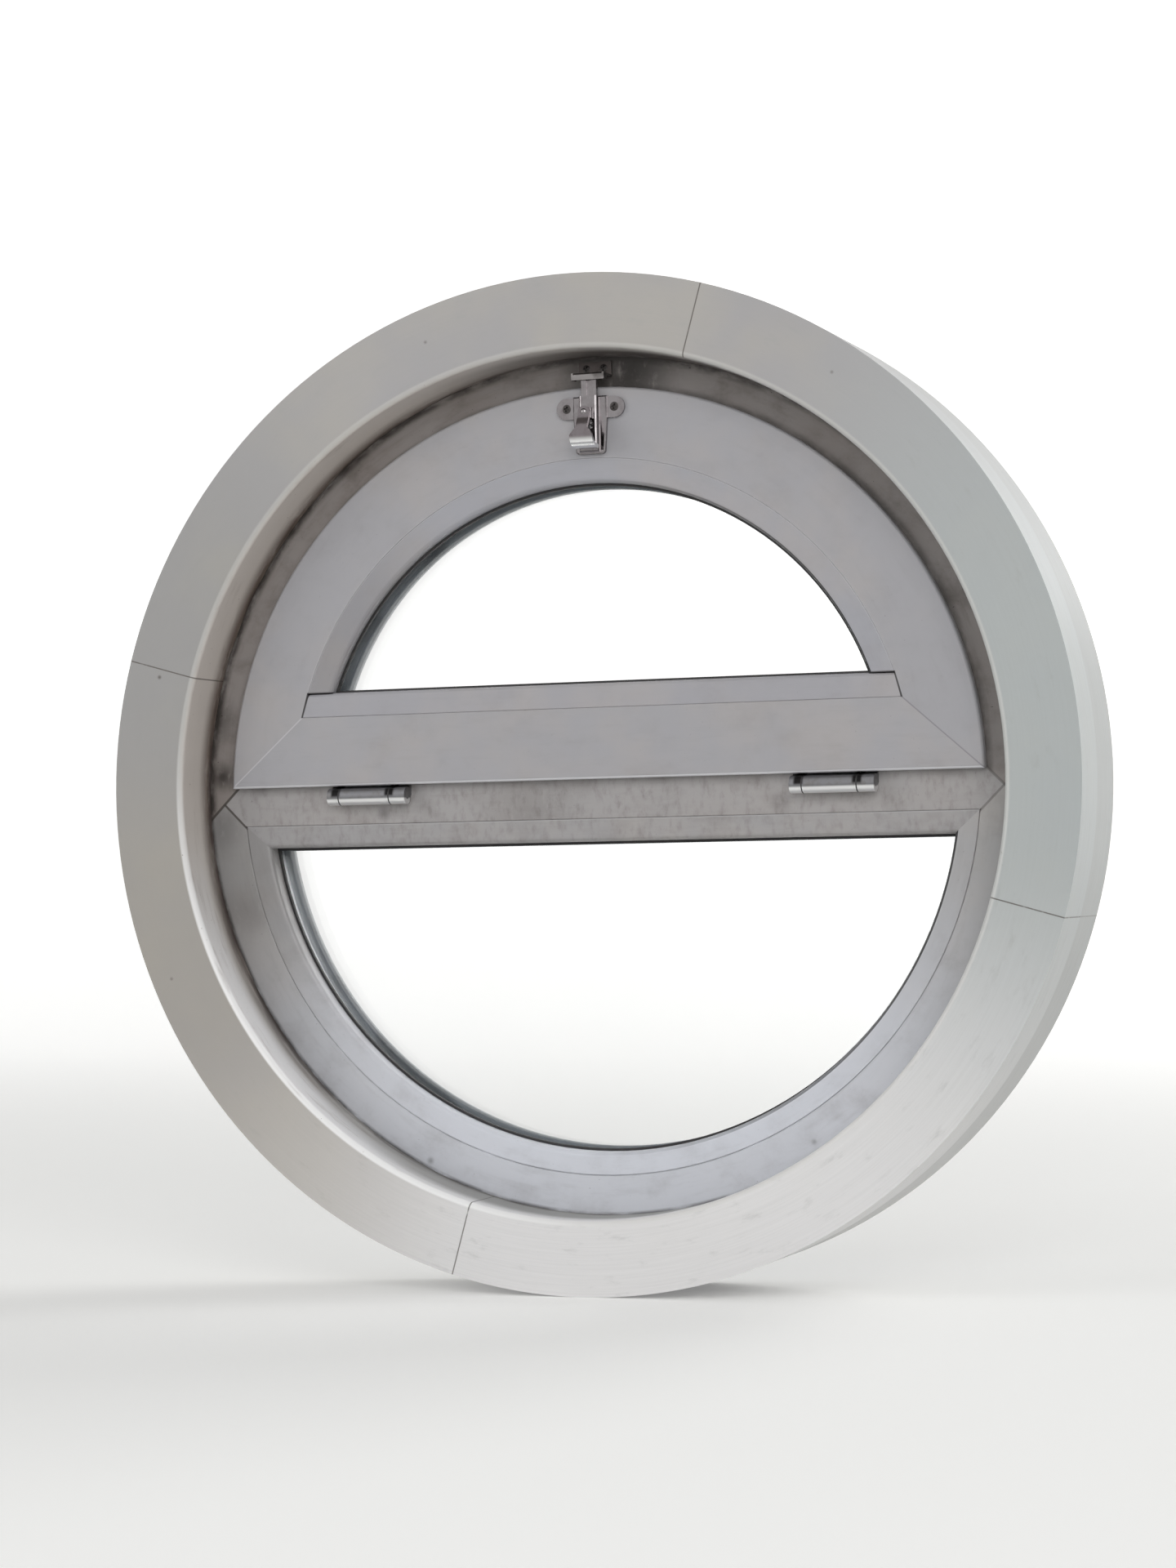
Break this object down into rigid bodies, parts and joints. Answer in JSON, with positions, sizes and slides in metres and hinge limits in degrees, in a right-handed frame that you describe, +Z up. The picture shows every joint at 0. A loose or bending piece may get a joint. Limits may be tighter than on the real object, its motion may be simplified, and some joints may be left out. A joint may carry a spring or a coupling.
{
  "type": "round window",
  "caption": "Round window: a painted timber ring around a white plastic frame with a fixed lower light and a bottom-hung upper sash with a sprung catch.",
  "frame": {"origin": "centre of the timber ring, in the plane of its room face", "axes": "+Y along the ring's axis towards the outdoors, +Z up, +X to the right seen from the room"},
  "size_m": [0.8, 0.12, 0.8],
  "materials": {
    "painted_timber": "satin paint on timber",
    "bare_timber": "planed",
    "white_plastic": "extruded satin white",
    "packer_plastic": "moulded",
    "black_plastic": "moulded",
    "rubber": "extruded",
    "glass": "clear float glass",
    "spacer_aluminium": "mill finish",
    "galvanised_steel": "galvanised",
    "zinc_steel": "zinc plated",
    "satin_steel": "satin nickel plated",
    "chrome": "polished chrome plate"
  },
  "bodies": {
    "frame": {"ring_segment_1": "painted_timber", "ring_segment_2": "painted_timber", "ring_segment_3": "painted_timber", "ring_segment_4": "painted_timber", "ring_tongues": "bare_timber", "lip_tape": "rubber", "frame_arch_upper": "white_plastic", "frame_arch_lower": "white_plastic", "frame_screws": "zinc_steel", "transom": "white_plastic", "transom_steel": "galvanised_steel", "frame_seal": "rubber", "keeper": "satin_steel", "keeper_screws": "zinc_steel", "lower_inner_pane": "glass", "lower_outer_pane": "glass", "lower_spacer": "spacer_aluminium", "lower_inner_gasket": "rubber", "lower_outer_gasket": "rubber", "lower_curved_bead": "white_plastic", "lower_straight_bead": "white_plastic", "lower_blocks": "packer_plastic", "hinge_frame_leaf_left": "satin_steel", "hinge_frame_leaf_right": "satin_steel", "hinge_pin_left": "zinc_steel", "hinge_pin_right": "zinc_steel", "hinge_washers_left": "black_plastic", "hinge_washers_right": "black_plastic", "hinge_frame_screws": "zinc_steel"},
    "sash": {"sash_arch": "white_plastic", "sash_rail": "white_plastic", "sash_rail_steel": "galvanised_steel", "sash_seal": "rubber", "sash_inner_pane": "glass", "sash_outer_pane": "glass", "sash_spacer": "spacer_aluminium", "sash_inner_gasket": "rubber", "sash_outer_gasket": "rubber", "sash_curved_bead": "white_plastic", "sash_straight_bead": "white_plastic", "sash_blocks": "packer_plastic", "hinge_sash_leaf_left": "satin_steel", "hinge_sash_leaf_right": "satin_steel", "hinge_sash_screws": "zinc_steel", "catch_body": "chrome", "catch_screws": "zinc_steel", "catch_spring": "zinc_steel"},
    "catch": {"catch_bolt": "chrome", "catch_pull": "chrome", "catch_rivet": "zinc_steel"}
  },
  "joints": [
    {"name": "sash_tilt", "type": "hinge", "parent": "frame", "child": "sash", "pos_m": [0, 0.047, -0.0045], "axis": [1, 0, 0], "range_deg": [0, 90]},
    {"name": "catch_slide", "type": "slide", "parent": "sash", "child": "catch", "axis": [0, 0, 1], "range_m": [-0.008, 0], "stiffness_N_per_m": 200, "springref_m": 0.005, "deforming": ["catch_spring"]}
  ]
}
